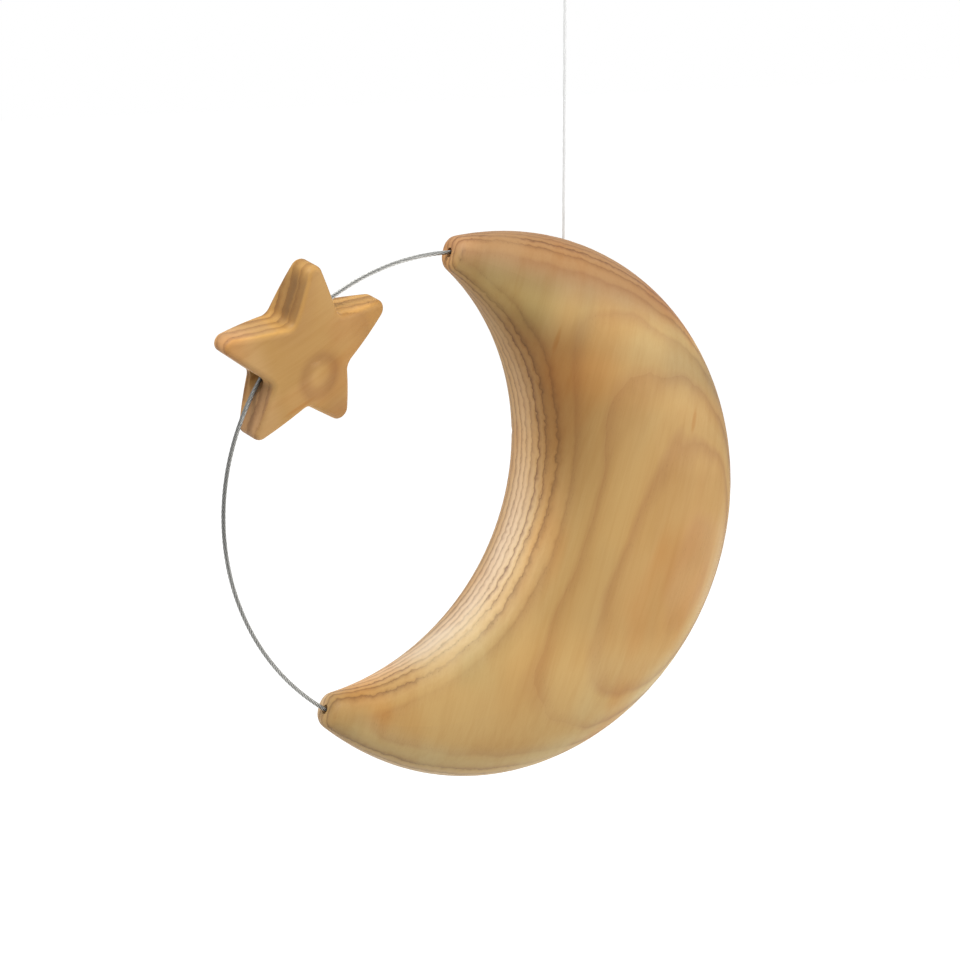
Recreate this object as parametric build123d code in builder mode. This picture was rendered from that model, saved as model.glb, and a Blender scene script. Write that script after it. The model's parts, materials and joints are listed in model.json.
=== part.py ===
from build123d import *
from math import acos, asin, atan2, cos, degrees, pi, radians, sin, sqrt
import os

# A carved wooden crescent moon and a wooden star on a ring of steel rope, hung from a clear thread.
# Millimetres, +Z up, the front toward -Y. The origin is the inside top of the thread's loop, where a
# hook bears, and the thread hangs straight down from it. The moon, the ring and the star lie in the
# plane Y = 0. Angles in that plane are in degrees from +X toward +Z, as seen from the front.

os.makedirs("parts", exist_ok=True)

# The crescent: an outer and an inner circle, whose centres lie on one axis through the ring's centre
lean = 17.6
outer_radius = 77.1
outer_offset = 14.2
inner_radius = 65.4
inner_offset = 44.6
horn_width = 8.64
belly_thickness = 41.0
horn_thickness = 9.8
swell_power = 0.65
inner_fullness_share = 0.63
outer_fullness_share = 0.64
horn_round_share = 0.68
section_count = 7

# The steel rope of the ring, and the holes and ferrules that hold its two ends
rope_diameter = 1.2
horn_hole_diameter = 2.6
horn_hole_depth = 15.0
ferrule_length = 9.0
ferrule_setback = 3.5
ferrule_fit = 0.05
rope_fit = 0.02

# The star, and how it sits on the rope
star_radius = 30.0
arm_shares = (1.13, 1.02, 1.15, 0.99, 1.06)
notch_radius = 13.7
star_thickness = 14.0
star_tip_thickness = 5.2
tip_round = 2.8
notch_round = 2.5
star_edge_round = 1.8
star_angle = 135.4
star_swivel = -22.0
star_turn = -5.4
bore_inset = 5.5
bore_forward = -0.9
bore_diameter = 3.6
throat_length = 17.0
flare_share = 0.18
first_arm = 18
chord_angle = 126

# The soft sleeve in the star's bore, which grips the rope
sleeve_length = 6.0
sleeve_fit = 0.05
sleeve_ease = 0.10

# The thread, the hole and peg that anchor it in the moon, and its knots and loop
thread_diameter = 0.8
thread_length = 71.0
peg_diameter = 4.0
peg_length = 11.0
peg_fit = 0.02
anchor_depth = 18.0
peg_bore_diameter = 1.3
bend_depth = 0.5
bend_gap = 0.25
knot_turns = 4
knot_core_radius = 1.1
loop_radius = 4.5
loop_height = 15.0
leg_spread = 1.3

# Densities in grams per cubic centimetre, for the balance
wood_density = 0.60
steel_density = 7.85

overrun = 2.0

hub_offset = (outer_offset - inner_offset) / 2
centre_shift = (outer_offset + inner_offset) / 2
rope_radius = rope_diameter / 2
thread_radius = thread_diameter / 2
bore_radius = bore_diameter / 2
rope_tail = ferrule_setback + ferrule_length


def toward(angle):
    """Unit vector in the moon's plane."""
    return Vector(cos(radians(angle)), 0, sin(radians(angle)))


def forward(angle):
    """Unit vector along a circle about the ring's centre, with the angle growing."""
    return toward(angle + 90)


def reach(offset, radius, sweep):
    """Distance from the hub, along a ray, to a circle centred on the crescent's axis."""
    shift = hub_offset - offset
    along = shift * cos(radians(sweep))
    return sqrt(along**2 - shift**2 + radius**2) - along


def section_place(sweep):
    """Middle distance from the hub and half width of the crescent on one ray."""
    inner = reach(-inner_offset, inner_radius, sweep)
    outer = reach(outer_offset, outer_radius, sweep)
    return (inner + outer) / 2, (outer - inner) / 2


# The horns end where the crescent has narrowed to their width. How far that is along the axis is found
# by a few steps that close in on it
horn_shift = 0
for closing_step in range(8):
    to_inner = sqrt(horn_shift**2 - centre_shift**2 + inner_radius**2)
    to_outer = sqrt(horn_shift**2 - centre_shift**2 + outer_radius**2)
    horn_shift = (horn_width + to_inner - to_outer) / 2
horn_sweep = degrees(acos(horn_shift / centre_shift))

belly_half_width = section_place(0)[1]
horn_middle, horn_half_width = section_place(horn_sweep)
horn_along = hub_offset + horn_middle * cos(radians(horn_sweep))
horn_across = horn_middle * sin(radians(horn_sweep))

# The rope's circle passes through the middle of both horn ends
ring_radius = sqrt(horn_along**2 + horn_across**2)
horn_angle = degrees(atan2(horn_across, horn_along))
upper_angle = horn_angle - lean
lower_angle = 360 - horn_angle - lean
far_angle = (upper_angle + lower_angle) / 2


def crescent():
    """The moon's blank: rounded sections on rays from a hub, lofted from horn to horn."""
    hub = toward(-lean) * hub_offset
    with BuildPart() as blank:
        for step in range(section_count):
            sweep = horn_sweep * (2 * step / (section_count - 1) - 1)
            middle, half_width = section_place(sweep)
            width_share = (half_width - horn_half_width) / (belly_half_width - horn_half_width)
            swell_share = max(width_share, 0) ** swell_power
            half_depth = (horn_thickness + (belly_thickness - horn_thickness) * swell_share) / 2
            ray = toward(sweep - lean)
            section = Plane(hub + ray * middle, x_dir=ray, z_dir=forward(sweep - lean))
            with BuildSketch(section):
                with BuildLine():
                    for side, full_share in ((-1, inner_fullness_share), (1, outer_fullness_share)):
                        for face in (-1, 1):
                            Bezier(
                                (side * half_width, 0),
                                (side * half_width, face * full_share * half_depth),
                                (side * full_share * half_width, face * half_depth),
                                (0, face * half_depth),
                            )
                make_face()
        loft()
        horn_ends = blank.faces().filter_by(GeomType.PLANE)
        fillet(horn_ends.edges(), horn_round_share * min(horn_half_width, horn_thickness / 2))
    return blank.part


def rope_path(centre):
    """The ring's line: straight in both horns and one arc between them."""
    upper = centre + toward(upper_angle) * ring_radius
    lower = centre + toward(lower_angle) * ring_radius
    far = centre + toward(far_angle) * ring_radius
    with BuildLine() as path:
        Line(upper - forward(upper_angle) * rope_tail, upper)
        ThreePointArc(upper, far, lower)
        Line(lower, lower + forward(lower_angle) * rope_tail)
    return path


def star_frame():
    """The star's plane, with its first axis at the star's own zero angle and its normal to the front."""
    outward = toward(star_angle) * cos(radians(star_swivel)) + Vector(0, sin(radians(star_swivel)), 0)
    normal = toward(star_angle) * sin(radians(star_swivel)) - Vector(0, cos(radians(star_swivel)), 0)
    heading = radians(star_turn - chord_angle)
    first_axis = outward * cos(heading) + forward(star_angle) * sin(heading)
    middle = toward(star_angle) * ring_radius
    return Plane(middle - outward * bore_inset - normal * bore_forward, x_dir=first_axis, z_dir=normal)


def star_blank():
    """Five slightly uneven arms between two domed faces, with softened corners and edges."""
    frame = star_frame()
    corners = []
    for arm, share in enumerate(arm_shares):
        angle = radians(first_arm + arm * 360 / len(arm_shares))
        step = pi / len(arm_shares)
        corners.append((share * star_radius * cos(angle), share * star_radius * sin(angle)))
        corners.append((notch_radius * cos(angle + step), notch_radius * sin(angle + step)))
    with BuildPart() as blank:
        with BuildSketch(frame) as outline:
            Polygon(*corners, align=None)
            around = outline.vertices().sort_by_distance(frame.origin)
            fillet(around[: len(arm_shares)], notch_round)
            around = outline.vertices().sort_by_distance(frame.origin)
            fillet(around[-len(arm_shares):], tip_round)
        extrude(amount=star_thickness / 2, both=True)
        half = star_thickness / 2
        fall = half - star_tip_thickness / 2
        face_radius = (star_radius**2 + fall**2) / (2 * fall)
        brim = sqrt(face_radius**2 - (face_radius - half) ** 2)
        with BuildSketch(Plane(frame.origin, x_dir=frame.x_dir, z_dir=frame.y_dir)):
            with BuildLine():
                Line((0, -half), (0, half))
                RadiusArc((0, half), (brim, 0), face_radius)
                RadiusArc((brim, 0), (0, -half), face_radius)
            make_face()
        revolve(axis=Axis(frame.origin, frame.z_dir), mode=Mode.INTERSECT)
        domes = blank.faces().filter_by(GeomType.SPHERE)
        fillet(domes.edges(), star_edge_round)
    return blank.part


# The blanks are weighed about the ring's centre: the thread's hole goes straight above their common
# centre of mass, so that the decoration hangs with the lean that it is carved for
moon_blank = crescent()
star_shape = star_blank()
rope_sweep = radians(lower_angle - upper_angle)
rope_length = ring_radius * rope_sweep + 2 * rope_tail
rope_volume = pi * rope_radius**2 * rope_length
rope_reach = ring_radius * sin(rope_sweep / 2) / (rope_sweep / 2)
loads = (
    (moon_blank.volume * wood_density, moon_blank.center(CenterOf.MASS).X),
    (star_shape.volume * wood_density, star_shape.center(CenterOf.MASS).X),
    (rope_volume * steel_density, (toward(far_angle) * rope_reach).X),
)
hang_x = sum(load * place for load, place in loads) / sum(load for load, place in loads)

# The moon's rim above the centre of mass, and from it the ring's centre below the hook
outer_middle = toward(-lean) * outer_offset
rim_z = outer_middle.Z + sqrt(outer_radius**2 - (hang_x - outer_middle.X) ** 2)
knot_height = 2 * thread_radius * knot_turns
knot_foot = -(loop_height + knot_height)
mouth = Vector(0, 0, knot_foot - thread_length)
ring_centre = mouth - Vector(hang_x, 0, rim_z)
bend = mouth - Vector(0, 0, bend_depth)
peg_foot = mouth - Vector(0, 0, peg_length)
print("ring centre", ring_centre, "mouth", mouth, "bend", bend)
print("ring radius", round(ring_radius, 3), "horn angles", round(upper_angle, 2), round(lower_angle, 2))

# The moon, with a straight blind hole in each horn for the rope and one down from the rim for the thread
with BuildPart() as moon:
    with Locations(ring_centre):
        add(moon_blank)
    for angle, inward in ((upper_angle, -1), (lower_angle, 1)):
        horn_end = ring_centre + toward(angle) * ring_radius
        with BuildSketch(Plane(horn_end - forward(angle) * inward * overrun, z_dir=forward(angle) * inward)):
            Circle(horn_hole_diameter / 2)
        extrude(amount=horn_hole_depth + overrun, mode=Mode.SUBTRACT)
    with BuildSketch(Plane(mouth + Vector(0, 0, overrun))):
        Circle(peg_diameter / 2)
    extrude(amount=-(anchor_depth + overrun), mode=Mode.SUBTRACT)

moon.part.label = "moon"
export_step(moon.part, "parts/moon.step")

# The rope of the ring, one arc from horn to horn with a straight tail in each
with BuildPart() as wire:
    rope_line = rope_path(ring_centre).wires()[0]
    with BuildSketch(Plane(rope_line @ 0, z_dir=rope_line % 0)):
        Circle(rope_radius)
    sweep(path=rope_line)

wire.part.label = "wire"
export_step(wire.part, "parts/wire.step")


def ferrule_on(angle, inward, name):
    """A thin sleeve squeezed on one end of the rope, inside its horn."""
    start = ring_centre + toward(angle) * ring_radius + forward(angle) * inward * ferrule_setback
    with BuildPart() as ferrule:
        with BuildSketch(Plane(start, z_dir=forward(angle) * inward)):
            Circle(horn_hole_diameter / 2 - ferrule_fit)
            Circle(rope_radius + rope_fit, mode=Mode.SUBTRACT)
        extrude(amount=ferrule_length)
    ferrule.part.label = name
    export_step(ferrule.part, "parts/" + name + ".step")


ferrule_on(upper_angle, -1, "upper_ferrule")
ferrule_on(lower_angle, 1, "lower_ferrule")

# The star, with one straight bore from notch to notch, opened out at both ends so that the bend of
# the rope clears it whichever way the star is turned
bore_middle = ring_centre + toward(star_angle) * ring_radius
bore_plane = Plane(bore_middle, z_dir=forward(star_angle))
mouth_reach = star_radius
mouth_radius = bore_radius + (mouth_reach - throat_length / 2) * flare_share
with BuildPart() as star:
    with Locations(ring_centre):
        add(star_shape)
    with BuildSketch(Plane(bore_middle, x_dir=forward(star_angle), z_dir=Vector(0, -1, 0))):
        Polygon(
            (-mouth_reach, 0),
            (-mouth_reach, mouth_radius),
            (-throat_length / 2, bore_radius),
            (throat_length / 2, bore_radius),
            (mouth_reach, mouth_radius),
            (mouth_reach, 0),
            align=None,
        )
    revolve(axis=Axis(bore_middle, forward(star_angle)), mode=Mode.SUBTRACT)

star.part.label = "star"
export_step(star.part, "parts/star.step")

# The soft sleeve in the middle of the bore
with BuildPart() as grip_sleeve:
    with BuildSketch(bore_plane):
        Circle(bore_radius - sleeve_fit)
        Circle(rope_radius + sleeve_ease, mode=Mode.SUBTRACT)
    extrude(amount=sleeve_length / 2, both=True)

grip_sleeve.part.label = "grip_sleeve"
export_step(grip_sleeve.part, "parts/grip_sleeve.step")

# The peg that locks the thread in the moon, cut flush with the rim and flared at its mouth
with BuildPart() as thread_peg:
    with BuildSketch(Plane(peg_foot)):
        Circle(peg_diameter / 2 - peg_fit)
    extrude(amount=peg_length + overrun)
    with Locations(ring_centre):
        add(moon_blank, mode=Mode.INTERSECT)
    with BuildSketch(Plane(peg_foot)):
        Circle(peg_bore_diameter / 2)
    extrude(amount=peg_length + overrun, mode=Mode.SUBTRACT)
    flare = bend_depth + overrun
    with Locations(bend + Vector(0, 0, flare / 2)):
        Cone(peg_bore_diameter / 2, peg_bore_diameter / 2 + flare, flare, mode=Mode.SUBTRACT)

thread_peg.part.label = "thread_peg"
export_step(thread_peg.part, "parts/thread_peg.step")

# The free stretch of thread, straight under the moon's weight, and its tail inside the peg
with BuildPart() as thread:
    with BuildSketch(Plane(bend + Vector(0, 0, bend_gap / 2))):
        Circle(thread_radius)
    extrude(amount=thread_length + bend_depth - bend_gap / 2)

thread.part.label = "thread"
export_step(thread.part, "parts/thread.step")

with BuildPart() as thread_tail:
    with BuildSketch(Plane(peg_foot)):
        Circle(thread_radius)
    extrude(amount=peg_length - bend_depth - bend_gap / 2)

thread_tail.part.label = "thread_tail"
export_step(thread_tail.part, "parts/thread_tail.step")


def knot_at(foot, name):
    """Turns of thread drawn up tight: a column of coils with flat ends."""
    with BuildPart() as knot:
        with BuildSketch(Plane.XZ.offset(-foot.Y)):
            with BuildLine():
                outline = [(0, foot.Z)]
                for rise in range(2 * knot_turns + 1):
                    out = knot_core_radius + thread_radius * (rise % 2)
                    outline.append((out, foot.Z + thread_radius * rise))
                outline.append((0, foot.Z + knot_height))
                Polyline(*outline, close=True)
            make_face()
        revolve(axis=Axis.Z)
    knot.part.label = name
    export_step(knot.part, "parts/" + name + ".step")


knot_at(peg_foot - Vector(0, 0, knot_height), "stop_knot")
knot_at(Vector(0, 0, knot_foot), "loop_knot")

# The loop over the hook: two straight legs from the knot, tangent to the arc over the top
crown = Vector(0, 0, thread_radius - loop_radius)
leg_foot = Vector(-leg_spread / 2, 0, -loop_height)
span = (crown - leg_foot).length
leg_angle = degrees(atan2(crown.Z - leg_foot.Z, crown.X - leg_foot.X) + asin(loop_radius / span))
leg_start = leg_foot - toward(leg_angle) * thread_radius / 2
shoulder = leg_foot + toward(leg_angle) * sqrt(span**2 - loop_radius**2)
with BuildPart() as thread_loop:
    with BuildLine() as loop_line:
        Line(leg_start, shoulder)
        ThreePointArc(shoulder, crown + Vector(0, 0, loop_radius), Vector(-shoulder.X, 0, shoulder.Z))
        Line(Vector(-shoulder.X, 0, shoulder.Z), Vector(-leg_start.X, 0, leg_start.Z))
    loop_wire = loop_line.wires()[0]
    with BuildSketch(Plane(loop_wire @ 0, z_dir=loop_wire % 0)):
        Circle(thread_radius)
    sweep(path=loop_wire)
    split(bisect_by=Plane.XY.offset(-loop_height), keep=Keep.TOP)

thread_loop.part.label = "thread_loop"
export_step(thread_loop.part, "parts/thread_loop.step")

# What the thread and the rope come to
print("thread radii: straight, then the loop at", loop_radius)
print("rope length", round(rope_length, 1), "thread length", round(thread_length + bend_depth, 1))
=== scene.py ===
"""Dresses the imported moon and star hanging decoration: carved ash, a twisted steel rope and a clear thread."""

import json
import math

import bmesh
import bpy
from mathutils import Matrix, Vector


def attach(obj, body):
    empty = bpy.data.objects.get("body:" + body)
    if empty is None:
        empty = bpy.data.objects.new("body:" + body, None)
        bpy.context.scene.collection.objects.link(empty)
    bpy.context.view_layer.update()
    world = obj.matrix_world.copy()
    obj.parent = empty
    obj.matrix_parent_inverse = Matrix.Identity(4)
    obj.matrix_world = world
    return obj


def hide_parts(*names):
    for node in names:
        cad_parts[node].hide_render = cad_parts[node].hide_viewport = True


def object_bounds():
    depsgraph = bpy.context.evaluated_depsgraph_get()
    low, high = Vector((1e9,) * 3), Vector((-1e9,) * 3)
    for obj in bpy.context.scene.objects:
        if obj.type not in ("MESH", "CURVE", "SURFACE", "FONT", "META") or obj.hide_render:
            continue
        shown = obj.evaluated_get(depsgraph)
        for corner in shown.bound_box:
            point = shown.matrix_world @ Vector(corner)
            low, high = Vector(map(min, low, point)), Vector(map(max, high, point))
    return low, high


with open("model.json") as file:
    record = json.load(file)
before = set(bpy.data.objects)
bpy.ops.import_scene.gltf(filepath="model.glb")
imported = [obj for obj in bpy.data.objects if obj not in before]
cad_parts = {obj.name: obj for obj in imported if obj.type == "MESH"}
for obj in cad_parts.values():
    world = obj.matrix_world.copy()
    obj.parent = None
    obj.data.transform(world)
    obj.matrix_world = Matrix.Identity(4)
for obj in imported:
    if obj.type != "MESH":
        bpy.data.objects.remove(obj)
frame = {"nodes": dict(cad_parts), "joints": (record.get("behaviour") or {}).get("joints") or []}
cad_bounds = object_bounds()
MM = 0.001

# Where things are, from the frame: the ring's centre, the star's bore and the thread's two ends
joints = {joint["name"]: joint for joint in frame["joints"]}
RING_CENTRE = Vector(joints["star_slide"]["pos_m"])
BORE_MIDDLE = Vector(joints["star_swivel"]["pos_m"])
KNOT_FOOT = Vector(joints["moon_turn"]["pos_m"])
BEND = Vector(joints["moon_tilt"]["pos_m"])
MOUTH_RISE = 0.5 * MM
MOUTH = BEND + Vector((0, 0, MOUTH_RISE))

# The thread, its upper knot and the loop over the hook
THREAD_DIAMETER = 0.8 * MM
THREAD_RADIUS = THREAD_DIAMETER / 2
KNOT_TURNS = 4
KNOT_CORE_RADIUS = 1.1 * MM
LOOP_RADIUS = 4.5 * MM
LEG_SPREAD = 1.3 * MM
CROWN_CORNERS = 6
WRAP_STEPS_PER_TURN = 40
WRAP_SIDES = 16
KNOT_CORE_SIDES = 24

# The rope, with a short tail inside each horn. The horns' places on the ring are angles in degrees
RING_RADIUS = (BORE_MIDDLE - RING_CENTRE).length
UPPER_HORN, LOWER_HORN = 89.45, 235.35
HORN_ANGLE = math.radians(UPPER_HORN)
HORN_SWEEP = math.radians(LOWER_HORN - UPPER_HORN)
ROPE_DIAMETER = 1.2 * MM
ROPE_TAIL = 5.0 * MM
OUTER_STRANDS = 6
STRANDS_ACROSS = 3
STRAND_RADIUS = ROPE_DIAMETER / STRANDS_ACROSS / 2
STRAND_LAY = 8.5 * MM
STRAND_STEPS_PER_LAY = 22
STRAND_SIDES = 18
WIRES_PER_STRAND = 3
WIRE_LAY = 3.4 * MM
WIRE_GROOVE_SHARE, WIRE_SWELL_SHARE = 0.86, 0.14

# The rope's brightness, at shares of the height from its lower end up to the top of the ring: a painted
# reflection, darkest halfway down and brightest at the top
ROPE_PAINTED_LIGHT = ((0.0, 0.82), (0.18, 0.68), (0.32, 0.66), (0.46, 0.49), (0.75, 0.62), (0.92, 0.80), (1.0, 1.0))

# The star is turned on its bore, which lies off its middle
STAR_SWIVEL = math.radians(-22.0)
STAR_INSET = 5.5 * MM
STAR_FORWARD = -0.9 * MM
BORE_OUTWARD = (BORE_MIDDLE - RING_CENTRE).normalized()
STAR_OUTWARD = BORE_OUTWARD * math.cos(STAR_SWIVEL) + Vector((0, math.sin(STAR_SWIVEL), 0))
STAR_NORMAL = BORE_OUTWARD * math.sin(STAR_SWIVEL) - Vector((0, math.cos(STAR_SWIVEL), 0))
STAR_MIDDLE = BORE_MIDDLE - STAR_OUTWARD * STAR_INSET - STAR_NORMAL * STAR_FORWARD

# The thick of the moon, from which its wood is measured, and the fine relief of both woods
MOON_BELLY = RING_CENTRE + Vector((40, 0, -8)) * MM
FIBRE_RELIEF = 0.10 * MM
PORE_RELIEF = 0.12 * MM

# How thickly the pores lie, at shares of a growth layer from its early wood on
PORE_CROWDING = ((0.0, 1.0), (0.14, 0.7), (0.30, 0.10), (0.93, 0.05), (1.0, 0.9))

# The camera stands to the left of the front and a little above, as the photograph's does
VIEW_AZIMUTH = math.radians(-29.27)
VIEW_ELEVATION = math.radians(12.0)
VIEW_DISTANCE = 0.8
VIEW_TARGET = RING_CENTRE + Vector((10.26, 0, 3.48)) * MM
LENS = 108.0
SENSOR = 36.0

# The studio: two soft lamps with their powers in watts, a faint surround, and a floor that shows white
KEY_OFFSET, KEY_SIZE, KEY_POWER = Vector((-0.60, -0.40, 0.95)), 0.8, 15.4
KEY_COLOUR = (1.0, 0.985, 0.96)
FILL_OFFSET, FILL_SIZE, FILL_POWER = Vector((0.98, -0.78, 0.12)), 1.0, 11.0
FILL_COLOUR = (1.0, 0.99, 0.97)
SURROUND_COLOUR, SURROUND_STRENGTH = (0.95, 0.97, 1.0, 1), 0.22
FLOOR_COLOUR, FLOOR_GLOW = (0.86, 0.86, 0.86, 1), 0.88
FLOOR_HALF_WIDTH = 6.0
FLOOR_DROP = 0.35
WHITE = (1, 1, 1, 1)


def place_camera():
    """Puts the camera at the photograph's point of view."""
    back = Vector(
        (
            math.sin(VIEW_AZIMUTH) * math.cos(VIEW_ELEVATION),
            -math.cos(VIEW_AZIMUTH) * math.cos(VIEW_ELEVATION),
            math.sin(VIEW_ELEVATION),
        )
    )
    data = bpy.data.cameras.new("camera")
    data.lens = LENS
    data.sensor_width = SENSOR
    data.dof.use_dof = False
    camera = bpy.data.objects.new("camera", data)
    bpy.context.collection.objects.link(camera)
    camera.location = VIEW_TARGET + back * VIEW_DISTANCE
    camera.rotation_euler = (-back).to_track_quat("-Z", "Y").to_euler()
    bpy.context.scene.camera = camera


def area_light(name, place, size, power, colour):
    """A soft square lamp that faces the moon."""
    data = bpy.data.lights.new(name, "AREA")
    data.size = size
    data.energy = power
    data.color = colour
    lamp = bpy.data.objects.new(name, data)
    bpy.context.collection.objects.link(lamp)
    lamp.location = place
    lamp.rotation_euler = (VIEW_TARGET - place).to_track_quat("-Z", "Y").to_euler()


def light_the_studio():
    """A large soft lamp from the upper left, a weaker one from the right, and a pale surround."""
    area_light("key", VIEW_TARGET + KEY_OFFSET, KEY_SIZE, KEY_POWER, KEY_COLOUR)
    area_light("fill", VIEW_TARGET + FILL_OFFSET, FILL_SIZE, FILL_POWER, FILL_COLOUR)
    world = bpy.data.worlds.new("surround")
    bpy.context.scene.world = world
    world.use_nodes = True
    nodes, links = world.node_tree.nodes, world.node_tree.links
    nodes.clear()
    output = nodes.new("ShaderNodeOutputWorld")
    soft = nodes.new("ShaderNodeBackground")
    soft.inputs["Color"].default_value = SURROUND_COLOUR
    soft.inputs["Strength"].default_value = SURROUND_STRENGTH
    white = nodes.new("ShaderNodeBackground")
    white.inputs["Color"].default_value = WHITE
    white.inputs["Strength"].default_value = 1.0
    mix = nodes.new("ShaderNodeMixShader")
    links.new(seen_directly(nodes, links), mix.inputs["Fac"])
    links.new(soft.outputs[0], mix.inputs[1])
    links.new(white.outputs[0], mix.inputs[2])
    links.new(mix.outputs[0], output.inputs["Surface"])


def seen_directly(nodes, links):
    """One for camera, glossy and transmission rays, zero for the light that reaches the object."""
    path = nodes.new("ShaderNodeLightPath")
    some = nodes.new("ShaderNodeMath")
    some.operation = "MAXIMUM"
    links.new(path.outputs["Is Camera Ray"], some.inputs[0])
    links.new(path.outputs["Is Glossy Ray"], some.inputs[1])
    any_ray = nodes.new("ShaderNodeMath")
    any_ray.operation = "MAXIMUM"
    links.new(some.outputs[0], any_ray.inputs[0])
    links.new(path.outputs["Is Transmission Ray"], any_ray.inputs[1])
    return any_ray.outputs[0]


def floor_material():
    """Matt and pale, and lit up where it is seen directly."""
    material = bpy.data.materials.new("pale_floor")
    material.use_nodes = True
    nodes, links = material.node_tree.nodes, material.node_tree.links
    nodes.clear()
    output = nodes.new("ShaderNodeOutputMaterial")
    diffuse = nodes.new("ShaderNodeBsdfDiffuse")
    diffuse.inputs["Color"].default_value = FLOOR_COLOUR
    glow = nodes.new("ShaderNodeEmission")
    glow.inputs["Color"].default_value = WHITE
    lift = nodes.new("ShaderNodeMath")
    lift.operation = "MULTIPLY"
    lift.inputs[1].default_value = FLOOR_GLOW
    links.new(seen_directly(nodes, links), lift.inputs[0])
    links.new(lift.outputs[0], glow.inputs["Strength"])
    both = nodes.new("ShaderNodeAddShader")
    links.new(diffuse.outputs[0], both.inputs[0])
    links.new(glow.outputs[0], both.inputs[1])
    links.new(both.outputs[0], output.inputs["Surface"])
    return material


def lay_floor():
    """A plain pale floor well below the decoration, which shows white and keeps the soft shadow."""
    mesh = bpy.data.meshes.new("floor")
    grid = bmesh.new()
    bmesh.ops.create_grid(grid, x_segments=1, y_segments=1, size=FLOOR_HALF_WIDTH)
    grid.to_mesh(mesh)
    grid.free()
    floor = bpy.data.objects.new("floor", mesh)
    bpy.context.collection.objects.link(floor)
    floor.location = (0, 0, cad_bounds[0][2] - FLOOR_DROP)
    floor.data.materials.append(floor_material())


class Graph:
    """Short calls for building a material's nodes."""

    def __init__(self, name):
        self.material = bpy.data.materials.new(name)
        self.material.use_nodes = True
        self.nodes = self.material.node_tree.nodes
        self.links = self.material.node_tree.links
        self.shader = self.nodes["Principled BSDF"]

    def feed(self, socket, value):
        if isinstance(value, bpy.types.NodeSocket):
            self.links.new(value, socket)
        else:
            socket.default_value = value

    def coordinates(self, kind):
        return self.nodes.new("ShaderNodeTexCoord").outputs[kind]

    def place_in_mm(self):
        return self.scaled(self.coordinates("Object"), 1 / MM)

    def math(self, operation, first, second=0.0):
        node = self.nodes.new("ShaderNodeMath")
        node.operation = operation
        self.feed(node.inputs[0], first)
        self.feed(node.inputs[1], second)
        return node.outputs[0]

    def total(self, first, *others):
        for other in others:
            first = self.math("ADD", first, other)
        return first

    def product(self, first, *others):
        for other in others:
            first = self.math("MULTIPLY", first, other)
        return first

    def vector(self, operation, first, second):
        node = self.nodes.new("ShaderNodeVectorMath")
        node.operation = operation
        self.feed(node.inputs[0], first)
        self.feed(node.inputs[1], second)
        return node.outputs["Value" if operation in ("DOT_PRODUCT", "DISTANCE") else "Vector"]

    def scaled(self, point, factor):
        node = self.nodes.new("ShaderNodeVectorMath")
        node.operation = "SCALE"
        self.feed(node.inputs[0], point)
        self.feed(node.inputs["Scale"], factor)
        return node.outputs["Vector"]

    def combine(self, x, y, z):
        node = self.nodes.new("ShaderNodeCombineXYZ")
        for socket, value in zip(node.inputs, (x, y, z)):
            self.feed(socket, value)
        return node.outputs[0]

    def noise(self, point, scale, seed, detail=2.0, roughness=0.5):
        node = self.nodes.new("ShaderNodeTexNoise")
        node.noise_dimensions = "4D"
        node.inputs["W"].default_value = seed
        self.feed(node.inputs["Vector"], point)
        node.inputs["Scale"].default_value = scale
        node.inputs["Detail"].default_value = detail
        node.inputs["Roughness"].default_value = roughness
        return node.outputs["Fac"]

    def ramp(self, value, stops):
        node = self.nodes.new("ShaderNodeValToRGB")
        elements = node.color_ramp.elements
        while len(elements) < len(stops):
            elements.new(0.5)
        for element, (place, colour) in zip(elements, stops):
            element.position = place
            element.color = (*colour, 1) if hasattr(colour, "__len__") else (colour, colour, colour, 1)
        self.feed(node.inputs["Fac"], value)
        return node.outputs["Color"]

    def mix(self, factor, first, second, blend="MIX"):
        node = self.nodes.new("ShaderNodeMix")
        node.data_type = "RGBA"
        node.blend_type = blend
        self.feed(node.inputs["Factor"], factor)
        first_colour, second_colour = (s for s in node.inputs if s.name in "AB" and s.type == "RGBA")
        self.feed(first_colour, first)
        self.feed(second_colour, second)
        return next(s for s in node.outputs if s.type == "RGBA")

    def tinted(self, colour, share, tint):
        return self.mix(share, colour, tint, "MULTIPLY")

    def between(self, value, low, high, to_low=0.0, to_high=1.0):
        node = self.nodes.new("ShaderNodeMapRange")
        node.interpolation_type = "SMOOTHSTEP"
        self.feed(node.inputs["Value"], value)
        node.inputs["From Min"].default_value = low
        node.inputs["From Max"].default_value = high
        node.inputs["To Min"].default_value = to_low
        node.inputs["To Max"].default_value = to_high
        return node.outputs["Result"]

    def bump(self, height, strength, distance, normal=None):
        node = self.nodes.new("ShaderNodeBump")
        node.inputs["Strength"].default_value = strength
        node.inputs["Distance"].default_value = distance
        self.feed(node.inputs["Height"], height)
        if normal is not None:
            self.feed(node.inputs["Normal"], normal)
        return node.outputs["Normal"]

    def blotched(self, marks, dark, pale, roughness, painted_light=None):
        """Colour and roughness that wander with the marks, and a painted light and shade that dulls the colour
        in places.
        """
        low, high = 0.3, 0.7
        colour = self.ramp(marks, ((low, dark), (high, pale)))
        # Where it is given, painted light and shade multiplies the colour
        if painted_light is not None:
            colour = self.tinted(colour, 1.0, painted_light)
        self.feed(self.shader.inputs["Base Color"], colour)
        self.feed(self.shader.inputs["Roughness"], self.between(marks, low, high, *roughness))


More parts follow.
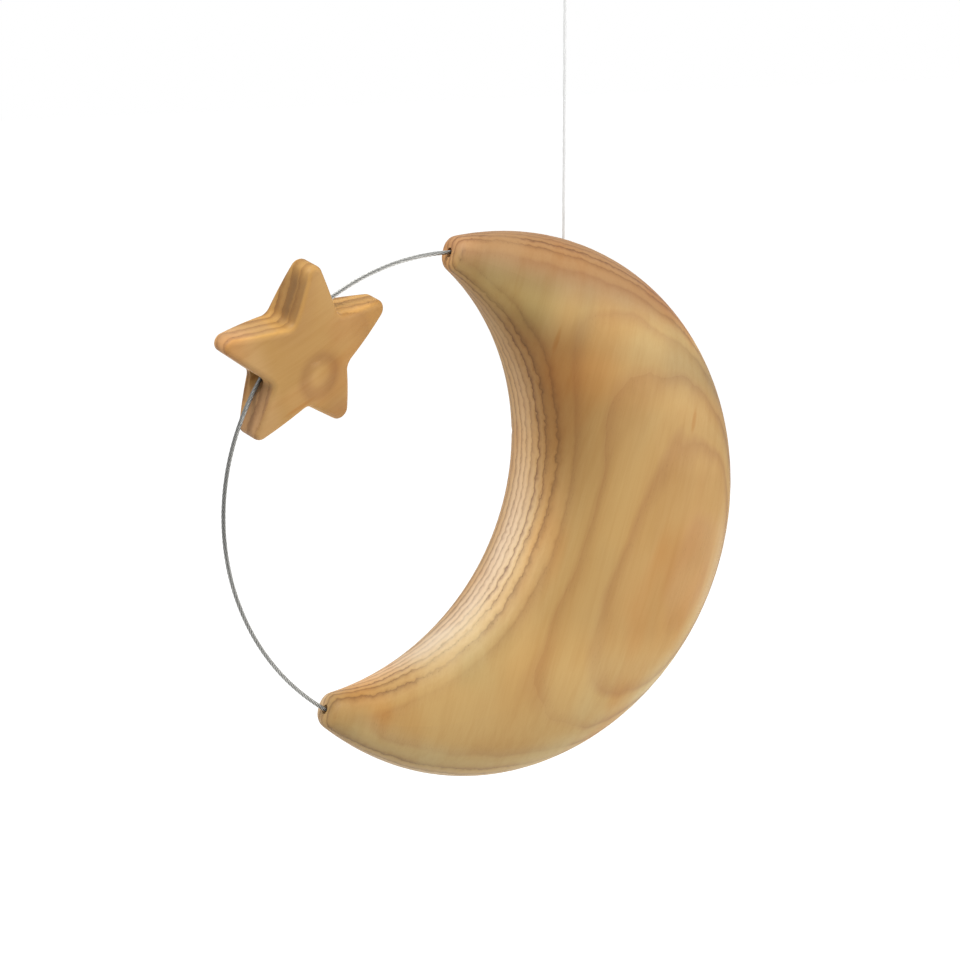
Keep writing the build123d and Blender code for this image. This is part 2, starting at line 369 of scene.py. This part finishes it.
class Ash(Graph):
    """Ash wood: bowed growth layers, tints by their depth, and fibres and pores along the grain."""

    def __init__(self, name, middle, grain, layer_up, look, seed):
        super().__init__(name)
        self.look = look
        self.seed = seed
        grain = Vector(grain).normalized()
        layer_up = (Vector(layer_up) - grain * grain.dot(Vector(layer_up))).normalized()
        from_middle = self.vector("SUBTRACT", self.coordinates("Object"), Vector(middle))
        self.place = self.scaled(from_middle, 1 / MM)
        self.along = self.vector("DOT_PRODUCT", self.place, grain)
        self.up = self.vector("DOT_PRODUCT", self.place, layer_up)
        self.over = self.vector("DOT_PRODUCT", self.place, grain.cross(layer_up))
        # A slope near 1 is a cut along the layers, which shows them broad and soft as a face
        tilt = self.vector("DOT_PRODUCT", self.coordinates("Normal"), layer_up)
        self.slope = self.math("ABSOLUTE", tilt)
        self.face = self.between(self.slope, *look["face"])

    def stretched(self, squeeze):
        """The place, squeezed along the grain to a share, so that a pattern is drawn out along it."""
        return self.combine(self.product(self.along, squeeze), self.over, self.up)

    def grain_noise(self, squeeze, scale, seed_step, detail=2.0, roughness=0.5):
        return self.noise(self.stretched(squeeze), scale, self.seed + seed_step, detail, roughness)

    def grain_cells(self, squeeze, scale):
        node = self.nodes.new("ShaderNodeTexVoronoi")
        self.feed(node.inputs["Vector"], self.stretched(squeeze))
        node.inputs["Scale"].default_value = scale
        return node.outputs

    def centred(self, noise, amount):
        return self.product(self.math("SUBTRACT", noise, 0.5), amount)

    def from_eye(self):
        """The distance from the middle of the dome in the layers, as seen on the face."""
        eye = Vector((*self.look["eye"][:2], 0))
        return self.vector("DISTANCE", self.combine(self.along, self.over, 0.0), eye)

    def layer_depth(self, bow_radius, taper):
        """The depth in the tree: wide bowed sheets that climb a little along the grain and wander."""
        bow = self.math("DIVIDE", self.product(self.over, self.over), 2 * bow_radius)
        wander = self.grain_noise(squeeze=0.40, scale=0.026, seed_step=0.0)
        ripple = self.grain_noise(squeeze=0.32, scale=0.15, seed_step=3.0, roughness=0.55)
        depth = self.total(
            self.up,
            bow,
            self.product(self.along, taper),
            self.centred(wander, self.look["wander"]),
            self.centred(ripple, self.look["ripple"]),
        )
        if self.look["eye"]:
            radius, rise = self.look["eye"][2:]
            depth = self.total(depth, self.product(self.between(self.from_eye(), radius, 0.0), rise))
        jag = self.grain_noise(squeeze=0.75, scale=0.60, seed_step=5.0)
        cut_across = self.math("SUBTRACT", 1.0, self.face)
        return self.total(depth, self.product(self.centred(jag, self.look["jag"]), cut_across))

    def layers(self, depth, spacing, start):
        """The share of a layer that a depth is at, how strong its year is, and how quiet it is on a face."""
        low, high, more = self.look["close"]
        rings = self.math("DIVIDE", self.math("SUBTRACT", depth, start), spacing)
        rings = self.total(rings, self.between(depth, low, high, -more, 0.0))
        number = self.math("FLOOR", rings)
        year = self.noise(self.combine(number, 0.5, 0.5), scale=0.77, seed=self.seed + 7.0, detail=0.0)
        slow, quick = 0.38, 0.58
        strong_year = self.between(year, slow, quick)
        quiet_year = self.between(year, slow, quick, 0.45, 0.0)
        return self.math("FRACT", rings), strong_year, quiet_year

    def layer_colour(self, depth, phase, strong_year, quiet_year):
        """Porous dark early wood with a sharp lower edge, which fades into pale late wood."""
        plain = self.ramp(phase, self.look["layer"])
        quiet = self.mix(0.45, plain, self.look["calm"])
        cut_across = self.mix(strong_year, quiet, plain)
        outermost = self.between(depth, *self.look["outermost"], 0.0, 0.6)
        quiet_face = self.math("MAXIMUM", quiet_year, outermost)
        soft = self.mix(quiet_face, self.ramp(phase, self.look["soft"]), self.look["calm_face"])
        return self.mix(self.face, cut_across, soft)

    def patched(self, colour):
        """Broad orange and straw patches along the grain."""
        patch = self.grain_noise(squeeze=0.45, scale=0.040, seed_step=17.0, roughness=0.55)
        colour = self.tinted(colour, self.between(patch, 0.50, 0.66, 0.0, 0.75), self.look["orange"])
        return self.mix(self.between(patch, 0.46, 0.34, 0.0, 0.55), colour, self.look["straw"])

    def banded(self, colour, depth):
        """The tints of the look's bands, each within its depths and windows. Most are the wood's own tints; some
        are painted light and painted shade.
        """
        flat = self.vector("MULTIPLY", self.place, Vector((1, 0, 1)))
        from_rim_middle = self.vector("DISTANCE", flat, self.look["rim_middle"])
        ways = {"along": self.along, "over": self.over, "rim": from_rim_middle, "slope": self.slope}
        if self.look["eye"]:
            ways["eye"] = self.from_eye()
        for (low, peak, high), tint, strength, windows in self.look["bands"]:
            share = self.product(self.between(depth, low, peak), self.between(depth, high, peak))
            for way, (starts, full, still, ends) in windows.items():
                rise = self.between(ways[way], starts, full)
                fall = self.between(ways[way], ends, still)
                share = self.product(share, self.product(rise, fall))
            colour = self.tinted(colour, self.product(share, strength), tint)
        return colour

    def flecked(self, colour):
        """Short orange flecks, far apart, where the cut runs along the layers."""
        cells = self.grain_cells(squeeze=0.15, scale=self.look["fleck_scale"])
        near = self.between(cells["Distance"], 0.15, 0.05)
        draw = self.vector("DOT_PRODUCT", cells["Color"], Vector((1, 0, 0)))
        share = self.product(near, self.between(draw, 0.50, 0.58), self.face)
        return self.tinted(colour, self.product(share, 0.8), self.look["fleck"])

    def streaked(self, colour, fibre):
        """Long streaks and fine fibres."""
        streak = self.grain_noise(squeeze=0.045, scale=0.55, seed_step=13.0)
        colour = self.tinted(colour, self.between(streak, 0.40, 0.72, 0.0, 0.38), self.look["streak"])
        return self.tinted(colour, self.between(fibre, 0.35, 0.75, 0.0, 0.30), self.look["fibre"])

    def pores(self, phase):
        """Short fine dashes, gathered in the early wood and fewer on a face."""
        dash = self.between(self.grain_cells(squeeze=0.17, scale=2.3)["Distance"], 0.27, 0.12)
        crowding = self.ramp(phase, PORE_CROWDING)
        return self.product(dash, crowding, self.between(self.face, 0.0, 1.0, 1.0, 0.25))

    def set_surface(self, fibre, pore):
        """A satin surface with fine relief, rougher in the pores."""
        roughness = self.total(self.product(fibre, 0.16), 0.46, self.product(pore, 0.15))
        self.feed(self.shader.inputs["Roughness"], roughness)
        self.shader.inputs["Specular IOR Level"].default_value = 0.25
        fibre_relief = self.bump(fibre, 0.12, FIBRE_RELIEF)
        pore_relief = self.bump(self.product(pore, -1.0), 0.5, PORE_RELIEF, fibre_relief)
        self.feed(self.shader.inputs["Normal"], pore_relief)


def ash_wood(name, middle, grain, layer_up, spacing, start, bow_radius, taper, look, seed):
    """A block of ash. Its layers' spacing, first place and bow are in mm, from the middle."""
    wood = Ash(name, middle, grain, layer_up, look, seed)
    depth = wood.layer_depth(bow_radius, taper)
    phase, strong_year, quiet_year = wood.layers(depth, spacing, start)
    fibre = wood.grain_noise(squeeze=0.03, scale=2.4, seed_step=11.0, detail=3.0, roughness=0.6)
    pore = wood.pores(phase)
    colour = wood.layer_colour(depth, phase, strong_year, quiet_year)
    colour = wood.flecked(wood.banded(wood.patched(colour), depth))
    colour = wood.streaked(colour, fibre)
    colour = wood.mix(wood.product(pore, 0.60), colour, look["pore"])
    wood.feed(wood.shader.inputs["Base Color"], colour)
    wood.set_surface(fibre, pore)
    return wood.material


def band(depths, tint, strength, **windows):
    """A tint between the depths where it starts, peaks and ends, in mm.

    Each window narrows it along one way: along or over the grain, out from the rim's or the eye's middle,
    in mm, or the slope. It holds where on that way the tint starts, is full, is still full and ends, and
    values that the wood doesn't reach stand for no start or no end.
    """
    return depths, (*tint, 1), strength, windows


# The wall of the star's top arm, where three tints meet to paint shade on it
TOP_ARM_WALL_SHADE = {
    "along": (-7.0, -2.0, 12.0, 18.0),
    "over": (-26.0, -21.0, -16.0, -11.0),
    "slope": (-2.0, -1.0, 0.40, 0.85),
}

# The looks of the two woods, in linear colours and mm. "layer" and "soft" run through one layer, where the
# cut crosses it and on a face, and "calm" and "calm_face" are a quiet layer's colours. "wander", "ripple" and
# "jag" are how far the layers stray. "face" holds the slopes where a face begins and is full, "eye" the place,
# radius and rise of a dome in the layers, "close" the depths between which the layers lie closer and how many
# more that makes, and "outermost" the depths over which the last layer fades. "rim_middle" is the middle of the
# rim's circle
MOON_LOOK = {
    "layer": (
        (0.0, (0.215, 0.110, 0.042)),
        (0.10, (0.340, 0.181, 0.066)),
        (0.32, (0.500, 0.286, 0.101)),
        (0.56, (0.590, 0.355, 0.128)),
        (0.82, (0.555, 0.322, 0.111)),
        (0.94, (0.430, 0.235, 0.080)),
        (1.0, (0.215, 0.110, 0.042)),
    ),
    "calm": (0.560, 0.325, 0.110, 1),
    "calm_face": (0.560, 0.328, 0.112, 1),
    "orange": (0.98, 0.80, 0.62, 1),
    "straw": (0.600, 0.390, 0.150, 1),
    "bands": (
        # Partly a dark streak in the wood and partly painted shade where the inner wall meets the face
        band((3.0, 10.5, 22.0), (0.50, 0.42, 0.36), 0.95, along=(-16.0, 26.0, 42.0, 56.0)),
        band((-2.0, 4.0, 12.0), (0.88, 0.92, 1.14), 0.90, along=(10.0, 35.0, 48.0, 60.0)),
        band((-16.0, 6.0, 60.0), (0.70, 0.64, 0.78), 0.95, along=(52.0, 64.0, 90.0, 99.0)),
        band(
            (-16.0, 6.0, 60.0), (1.34, 1.36, 1.50), 0.90,
            along=(46.0, 60.0, 90.0, 99.0), over=(-90.0, -80.0, -62.0, -53.0),
        ),
        band((8.0, 16.0, 40.0), (0.84, 0.98, 1.20), 0.90, along=(34.0, 48.0, 60.0, 68.0)),
        band((9.0, 17.0, 26.0), (0.79, 0.81, 0.83), 0.90, along=(-45.0, -25.0, 28.0, 42.0)),
        # Painted light and sheen on the lower inner wall, which faces up
        band(
            (-12.0, 1.0, 12.0), (1.24, 1.44, 2.28), 0.95,
            along=(-99.0, -90.0, 5.0, 50.0), over=(-99.0, -90.0, -6.0, 10.0),
        ),
        # Painted light and sheen on the lower inner wall, which faces up
        band(
            (-6.0, 8.0, 19.0), (1.29, 1.54, 2.16), 0.90,
            along=(-60.0, -42.0, -15.0, 18.0), over=(-99.0, -90.0, -6.0, 10.0),
        ),
        band(
            (4.0, 12.5, 18.0), (0.74, 0.79, 0.74), 0.90,
            along=(40.0, 50.0, 57.0, 64.0), over=(-70.0, -60.0, -38.0, -28.0),
        ),
        band(
            (10.0, 16.0, 40.0), (1.16, 1.14, 1.10), 0.90,
            along=(36.0, 44.0, 58.0, 66.0), over=(-24.0, -17.0, 0.0, 10.0),
        ),
        band(
            (14.0, 21.0, 30.0), (0.88, 0.84, 0.76), 0.90,
            along=(-12.0, 0.0, 16.0, 24.0), over=(6.0, 14.0, 34.0, 40.0),
        ),
        band((2.0, 14.0, 26.0), (0.84, 0.86, 0.88), 0.90, along=(-99.0, -90.0, -60.0, -25.0)),
        band(
            (2.0, 14.0, 26.0), (0.86, 0.86, 0.84), 0.90,
            along=(-99.0, -90.0, -66.0, -58.0), over=(-90.0, -80.0, -56.0, -50.0),
        ),
        # Painted light and sheen on the bottom of the inner wall, which faces up
        band(
            (-14.0, 2.0, 11.0), (1.30, 1.40, 1.62), 0.90,
            along=(-99.0, -90.0, -60.0, -46.0), over=(-99.0, -90.0, -6.0, 10.0),
        ),
        band(
            (14.0, 22.0, 36.0), (0.93, 0.92, 0.91), 0.90,
            along=(-36.0, -26.0, -12.0, -2.0), over=(-8.0, 2.0, 20.0, 28.0),
        ),
        band(
            (14.0, 22.0, 40.0), (0.94, 0.92, 0.86), 0.90,
            along=(-34.0, -24.0, -6.0, 4.0), over=(14.0, 22.0, 32.0, 38.0),
        ),
        band(
            (9.0, 15.0, 18.0), (0.88, 0.92, 0.92), 0.90,
            along=(-58.0, -50.0, -38.0, -30.0), over=(-34.0, -28.0, -20.0, -14.0),
        ),
        band(
            (14.0, 19.0, 30.0), (1.00, 1.10, 1.28), 0.90,
            along=(-62.0, -54.0, -40.0, -30.0), over=(2.0, 12.0, 40.0, 60.0),
        ),
        band(
            (14.0, 22.5, 32.0), (1.05, 1.06, 1.24), 0.90,
            along=(-24.0, -14.0, 4.0, 12.0), over=(22.0, 28.0, 40.0, 60.0),
        ),
        band(
            (-40.0, 20.0, 80.0), (1.04, 1.20, 1.50), 0.90,
            rim=(64.0, 71.0, 90.0, 99.0), along=(-99.0, -90.0, -5.0, 15.0),
        ),
    ),
    "streak": (0.90, 0.83, 0.74, 1),
    "fibre": (0.90, 0.85, 0.78, 1),
    "pore": (0.13, 0.070, 0.030, 1),
    "fleck": (0.90, 0.74, 0.56, 1),
    "fleck_scale": 0.14,
    "soft": (
        (0.0, (0.480, 0.258, 0.087)),
        (0.10, (0.500, 0.276, 0.092)),
        (0.30, (0.560, 0.330, 0.112)),
        (0.55, (0.590, 0.362, 0.128)),
        (0.85, (0.570, 0.340, 0.115)),
        (1.0, (0.480, 0.258, 0.087)),
    ),
    "wander": 4.0,
    "ripple": 1.2,
    "jag": 1.9,
    "face": (0.60, 0.93),
    "eye": None,
    "close": (-1.0, 13.0, 1.6),
    "outermost": (20.8, 22.6),
    "rim_middle": Vector((-26.5, 0, 3.7)),
}
STAR_LOOK = {
    **MOON_LOOK,
    "layer": (
        (0.0, (0.300, 0.148, 0.045)),
        (0.16, (0.360, 0.182, 0.056)),
        (0.40, (0.540, 0.300, 0.092)),
        (0.60, (0.640, 0.370, 0.115)),
        (0.88, (0.600, 0.335, 0.100)),
        (0.95, (0.450, 0.235, 0.068)),
        (1.0, (0.300, 0.148, 0.045)),
    ),
    "calm": (0.600, 0.335, 0.098, 1),
    "calm_face": (0.490, 0.275, 0.085, 1),
    "straw": (0.640, 0.390, 0.130, 1),
    "bands": (
        # Painted shade: three darkenings of the top arm's wall, up to the face's edge
        band((-9.0, 3.0, 19.0), (0.50, 0.48, 0.54), 0.95, **TOP_ARM_WALL_SHADE),
        band((1.5, 3.5, 4.7), (0.62, 0.60, 0.66), 0.90, **TOP_ARM_WALL_SHADE),
        band((5.0, 6.9, 9.0), (0.78, 0.76, 0.78), 0.90, **TOP_ARM_WALL_SHADE),
        # Painted shade: darkens the upper-left walls, which face away from the light
        band(
            (-9.0, 1.0, 19.0), (0.86, 0.90, 1.18), 0.90,
            along=(-40.0, -30.0, -9.0, -5.0),
            over=(-40.0, -30.0, -14.0, -8.0),
            slope=(-2.0, -1.0, 0.25, 0.60),
        ),
        band(
            (-9.0, 0.0, 19.0), (1.04, 1.06, 1.20), 0.90,
            along=(14.0, 18.0, 40.0, 50.0), slope=(-2.0, -1.0, 0.25, 0.60),
        ),
        # Painted shade: darkens the walls at the lower-left notch
        band(
            (-9.0, 1.0, 19.0), (0.76, 0.75, 0.98), 0.95,
            along=(-40.0, -30.0, -13.0, -9.0), over=(-3.0, 1.0, 30.0, 40.0), slope=(-2.0, -1.0, 0.35, 0.75),
        ),
        band(
            (4.0, 6.6, 12.0), (0.94, 0.86, 0.80), 0.80,
            along=(4.0, 9.0, 14.0, 19.0), over=(-9.0, -5.0, -2.0, 2.0),
        ),
        band((-9.0, 5.0, 30.0), (1.12, 1.17, 1.50), 0.90, along=(-50.0, -40.0, -17.0, -11.0)),
        band(
            (4.0, 6.6, 30.0), (1.12, 1.14, 1.30), 0.90,
            along=(-14.0, -9.0, -2.0, 3.0), over=(1.0, 5.0, 12.0, 18.0),
        ),
        band((2.0, 5.0, 30.0), (1.06, 1.09, 1.20), 0.90, along=(4.0, 12.0, 30.0, 40.0)),
        band(
            (4.0, 6.6, 30.0), (1.00, 1.03, 1.18), 0.90,
            along=(-2.0, 4.0, 12.0, 20.0), over=(4.0, 9.0, 30.0, 40.0),
        ),
        band((-9.0, 5.0, 30.0), (0.90, 0.86, 0.86), 0.90, eye=(1.5, 4.5, 5.5, 9.0)),
        band((-9.0, 5.0, 30.0), (1.05, 1.07, 1.10), 0.90, eye=(-2.0, -1.0, 1.5, 4.5)),
    ),
    "soft": (
        (0.0, (0.400, 0.205, 0.062)),
        (0.12, (0.430, 0.228, 0.070)),
        (0.34, (0.510, 0.290, 0.092)),
        (0.60, (0.510, 0.290, 0.088)),
        (0.82, (0.490, 0.270, 0.078)),
        (1.0, (0.400, 0.205, 0.062)),
    ),
    "wander": 1.3,
    "ripple": 0.7,
    "jag": 1.6,
    "face": (0.50, 0.85),
    "eye": (0.5, 5.0, 10.5, 2.1),
    "close": (-9.0, 9.0, 0.0),
}


def steel_strands():
    """Bright drawn wires, a little soiled, with a painted reflection that leaves them dullest halfway down the
    ring and brightest at the upper horn.
    """
    graph = Graph("steel_strands")
    place = graph.place_in_mm()
    lowest = (RING_CENTRE.z + RING_RADIUS * math.sin(HORN_ANGLE + HORN_SWEEP)) / MM
    highest = (RING_CENTRE.z + RING_RADIUS) / MM
    height = graph.vector("DOT_PRODUCT", place, Vector((0, 0, 1)))
    share = graph.math("DIVIDE", graph.math("SUBTRACT", height, lowest), highest - lowest)
    graph.blotched(
        graph.noise(place, scale=1.8, seed=5.0, detail=3.0, roughness=0.6),
        dark=(0.25, 0.25, 0.24),
        pale=(0.45, 0.45, 0.43),
        roughness=(0.42, 0.28),
        # Painted reflection: the rope's brightness by its height
        painted_light=graph.ramp(share, ROPE_PAINTED_LIGHT),
    )
    graph.shader.inputs["Metallic"].default_value = 1.0
    return graph.material


def clear_nylon():
    """Drawn monofilament: milky, clear at its middle, with faint length marks."""
    graph = Graph("clear_nylon")
    stretch = graph.vector("MULTIPLY", graph.place_in_mm(), Vector((1, 1, 0.04)))
    marks = graph.noise(stretch, scale=2.0, seed=2.0)
    graph.blotched(marks, dark=(0.76, 0.77, 0.77), pale=(0.84, 0.85, 0.85), roughness=(0.30, 0.42))
    graph.shader.inputs["Transmission Weight"].default_value = 0.18
    graph.shader.inputs["IOR"].default_value = 1.53
    return graph.material


def plain_steel():
    """The hidden crimped tubes."""
    graph = Graph("crimped_tube")
    marks = graph.noise(graph.place_in_mm(), scale=1.2, seed=9.0, detail=3.0, roughness=0.6)
    graph.blotched(marks, dark=(0.48, 0.48, 0.48), pale=(0.62, 0.62, 0.61), roughness=(0.3, 0.45))
    graph.shader.inputs["Metallic"].default_value = 1.0
    return graph.material


def soft_silicone():
    """The hidden sleeve in the star."""
    graph = Graph("soft_silicone")
    marks = graph.noise(graph.place_in_mm(), scale=1.0, seed=21.0)
    graph.blotched(marks, dark=(0.60, 0.59, 0.55), pale=(0.70, 0.69, 0.65), roughness=(0.5, 0.6))
    return graph.material


def new_piece(name, mesh, material, body):
    """Links a mesh as a visible piece that rides on a body."""
    piece = bpy.data.objects.new(name, mesh)
    bpy.context.collection.objects.link(piece)
    piece.data.materials.append(material)
    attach(piece, body)
    return piece


def round_section(radius, sides):
    """Points round a circle, in a section's own plane."""
    angles = [2 * math.pi * side / sides for side in range(sides)]
    return [(radius * math.cos(angle), radius * math.sin(angle)) for angle in angles]


def tube_along(points, frames, profile, name):
    """A mesh tube: profile(step) gives the section's points in each frame's own plane."""
    mesh = bpy.data.meshes.new(name)
    work = bmesh.new()
    rings = []
    for step, (point, (side, top)) in enumerate(zip(points, frames)):
        rings.append([work.verts.new(point + side * x + top * y) for x, y in profile(step)])
    for ring, after in zip(rings, rings[1:]):
        count = len(ring)
        for i in range(count):
            work.faces.new((ring[i], ring[(i + 1) % count], after[(i + 1) % count], after[i]))
    work.faces.new(list(reversed(rings[0])))
    work.faces.new(rings[-1])
    bmesh.ops.recalc_face_normals(work, faces=work.faces)
    for face in work.faces:
        face.smooth = len(face.verts) == 4
    work.to_mesh(mesh)
    work.free()
    return mesh


def joined_mesh(parts, name):
    """One mesh from several, which are dropped."""
    joined = bmesh.new()
    for part in parts:
        joined.from_mesh(part)
        bpy.data.meshes.remove(part)
    mesh = bpy.data.meshes.new(name)
    joined.to_mesh(mesh)
    joined.free()
    return mesh


def rope_places():
    """The rope's middle line, outward way and run along the arc, from inside one horn to the other."""
    arc = RING_RADIUS * HORN_SWEEP
    total = arc + 2 * ROPE_TAIL
    count = int(total / STRAND_LAY * STRAND_STEPS_PER_LAY)
    places = []
    for step in range(count + 1):
        run = total * step / count - ROPE_TAIL
        angle = HORN_ANGLE + min(max(run, 0), arc) / RING_RADIUS
        out = Vector((math.cos(angle), 0, math.sin(angle)))
        ahead = Vector((-math.sin(angle), 0, math.cos(angle)))
        beyond = min(run, 0) + max(run - arc, 0)
        places.append((RING_CENTRE + out * RING_RADIUS + ahead * beyond, out, run))
    return places


def rope_strands(steel):
    """Six twisted strands round a seventh, each of three wires, along the ring's arc and into both horns."""
    places = rope_places()
    back = Vector((0, 1, 0))

    def lobed(step):
        twist = 2 * math.pi * places[step][2] / WIRE_LAY
        ring = []
        for side in range(STRAND_SIDES):
            angle = 2 * math.pi * side / STRAND_SIDES
            lobe = abs(math.cos(WIRES_PER_STRAND / 2 * (angle + twist)))
            reach = STRAND_RADIUS * (WIRE_GROOVE_SHARE + WIRE_SWELL_SHARE * lobe)
            ring.append((reach * math.cos(angle), reach * math.sin(angle)))
        return ring

    strands = []
    for strand in range(OUTER_STRANDS + 1):
        offset = 2 * STRAND_RADIUS if strand < OUTER_STRANDS else 0
        points, frames = [], []
        for centre, out, run in places:
            turn = 2 * math.pi * (run / STRAND_LAY + strand / OUTER_STRANDS)
            off = out * math.cos(turn) + back * math.sin(turn)
            points.append(centre + off * offset)
            frames.append((out, back))
        strands.append(tube_along(points, frames, lobed, f"rope_strand_{strand}"))
    piece = new_piece("rope", joined_mesh(strands, "rope"), steel, "moon")
    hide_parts("wire")


def nylon_line(name, route, nylon, body):
    """A smooth round length of the thread that follows a route."""
    curve = bpy.data.curves.new(name, "CURVE")
    curve.dimensions = "3D"
    spline = curve.splines.new("NURBS")
    spline.points.add(len(route) - 1)
    for point, place in zip(spline.points, route):
        point.co = (*place, 1)
    spline.order_u = 3
    spline.use_endpoint_u = True
    spline.resolution_u = 8
    curve.bevel_depth = THREAD_RADIUS
    curve.bevel_resolution = 6
    curve.use_fill_caps = True
    return new_piece(name, curve, nylon, body)


def hanging_loop(nylon):
    """The loop over the hook: two straight legs that leave a round crown along its tangents."""
    crown = Vector((0, 0, THREAD_RADIUS - LOOP_RADIUS))
    foot = KNOT_FOOT + Vector((-LEG_SPREAD / 2, 0, THREAD_DIAMETER * KNOT_TURNS))
    reach = crown - foot
    swing = math.asin(LOOP_RADIUS / reach.length) - math.atan2(reach.x, reach.z)
    leg = math.sqrt(reach.length_squared - LOOP_RADIUS**2)
    up_the_leg = Vector((-math.sin(swing), 0, math.cos(swing))) * leg
    left = [foot + up_the_leg * share for share in (-0.08, 0.3, 0.6, 0.85)]
    arc = math.pi + 2 * swing
    wide = LOOP_RADIUS / math.cos(arc / CROWN_CORNERS / 2)
    angles = [math.pi + swing - arc * (corner + 0.5) / CROWN_CORNERS for corner in range(CROWN_CORNERS)]
    round_crown = [crown + Vector((math.cos(angle), 0, math.sin(angle))) * wide for angle in angles]
    right = [Vector((-place.x, 0, place.z)) for place in reversed(left)]
    return nylon_line("hook_loop", left + round_crown + right, nylon, "hanger")


def wraps_line(foot, steps):
    """The middle line of the knot's stacked turns, whose ends are tucked in over a tenth of it."""
    tucked_share, freed_share, tenths = 0.45, 0.55, 10
    line = []
    for step in range(steps + 1):
        share = step / steps
        turn = 2 * math.pi * (KNOT_TURNS - 1) * share
        free = min(1.0, tenths * share, tenths * (1 - share))
        out = KNOT_CORE_RADIUS * (tucked_share + freed_share * free)
        rise = THREAD_RADIUS + (KNOT_TURNS - 1) * THREAD_DIAMETER * share
        line.append(foot + Vector((out * math.cos(turn), out * math.sin(turn), rise)))
    return line


def knot_wraps(name, foot, body, nylon):
    """Turns of thread drawn up tight round its own two strands, with both ends tucked in."""
    steps = WRAP_STEPS_PER_TURN * KNOT_TURNS
    line = wraps_line(foot, steps)
    frames = []
    for step in range(steps + 1):
        ahead = (line[min(step + 1, steps)] - line[max(step - 1, 0)]).normalized()
        side = Vector((0, 0, 1)).cross(ahead).normalized()
        frames.append((side, ahead.cross(side)))
    section = round_section(THREAD_RADIUS, WRAP_SIDES)
    wraps = tube_along(line, frames, lambda step: section, name + "_wraps")

    height_shares, swell_shares = (0.03, 0.1, 0.5, 0.9, 0.97), (0.75, 0.92, 0.98, 0.92, 0.75)
    spine = [foot + Vector((0, 0, KNOT_TURNS * THREAD_DIAMETER * share)) for share in height_shares]
    level = [(Vector((1, 0, 0)), Vector((0, 1, 0)))] * len(spine)
    core = round_section(KNOT_CORE_RADIUS, KNOT_CORE_SIDES)

    def swollen(step):
        return [(x * swell_shares[step], y * swell_shares[step]) for x, y in core]

    inside = tube_along(spine, level, swollen, name + "_inside")
    return new_piece(name, joined_mesh([wraps, inside], name), nylon, body)


def thread_cord(nylon):
    """The clear thread from the moon's rim straight up to the loop's knot."""
    route = [MOUTH.lerp(KNOT_FOOT, share) for share in (0.0, 0.1, 0.3, 0.5, 0.7, 0.9, 1.0)]
    piece = nylon_line("thread_line", route, nylon, "thread")
    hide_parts("thread")


def dress(node, material):
    """Gives a CAD node its material."""
    target = frame["nodes"][node]
    target.data.materials.clear()
    target.data.materials.append(material)


bpy.context.scene.view_settings.view_transform = "Standard"
place_camera()
light_the_studio()
lay_floor()

moon_wood = ash_wood(
    "moon_ash",
    middle=MOON_BELLY,
    grain=(0.30, 0.0, 0.95),
    layer_up=(0.07, -0.998, 0.0),
    spacing=3.1,
    start=2.4,
    bow_radius=150.0,
    taper=-0.02,
    look=MOON_LOOK,
    seed=1.0,
)
star_wood = ash_wood(
    "star_ash",
    middle=STAR_MIDDLE,
    grain=(0.87, 0.1, 0.45),
    layer_up=STAR_NORMAL,
    spacing=3.0,
    start=-1.3,
    bow_radius=70.0,
    taper=0.0,
    look=STAR_LOOK,
    seed=31.0,
)
steel = steel_strands()
nylon = clear_nylon()
tube_steel = plain_steel()

dress("moon", moon_wood)
dress("thread_peg", moon_wood)
dress("star", star_wood)
dress("upper_ferrule", tube_steel)
dress("lower_ferrule", tube_steel)
dress("grip_sleeve", soft_silicone())
dress("thread_tail", nylon)
dress("stop_knot", nylon)

rope_strands(steel)
tied_knot = knot_wraps("tied_knot", KNOT_FOOT, "hanger", nylon)
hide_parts("loop_knot")
hook_loop = hanging_loop(nylon)
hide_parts("thread_loop")
thread_cord(nylon)
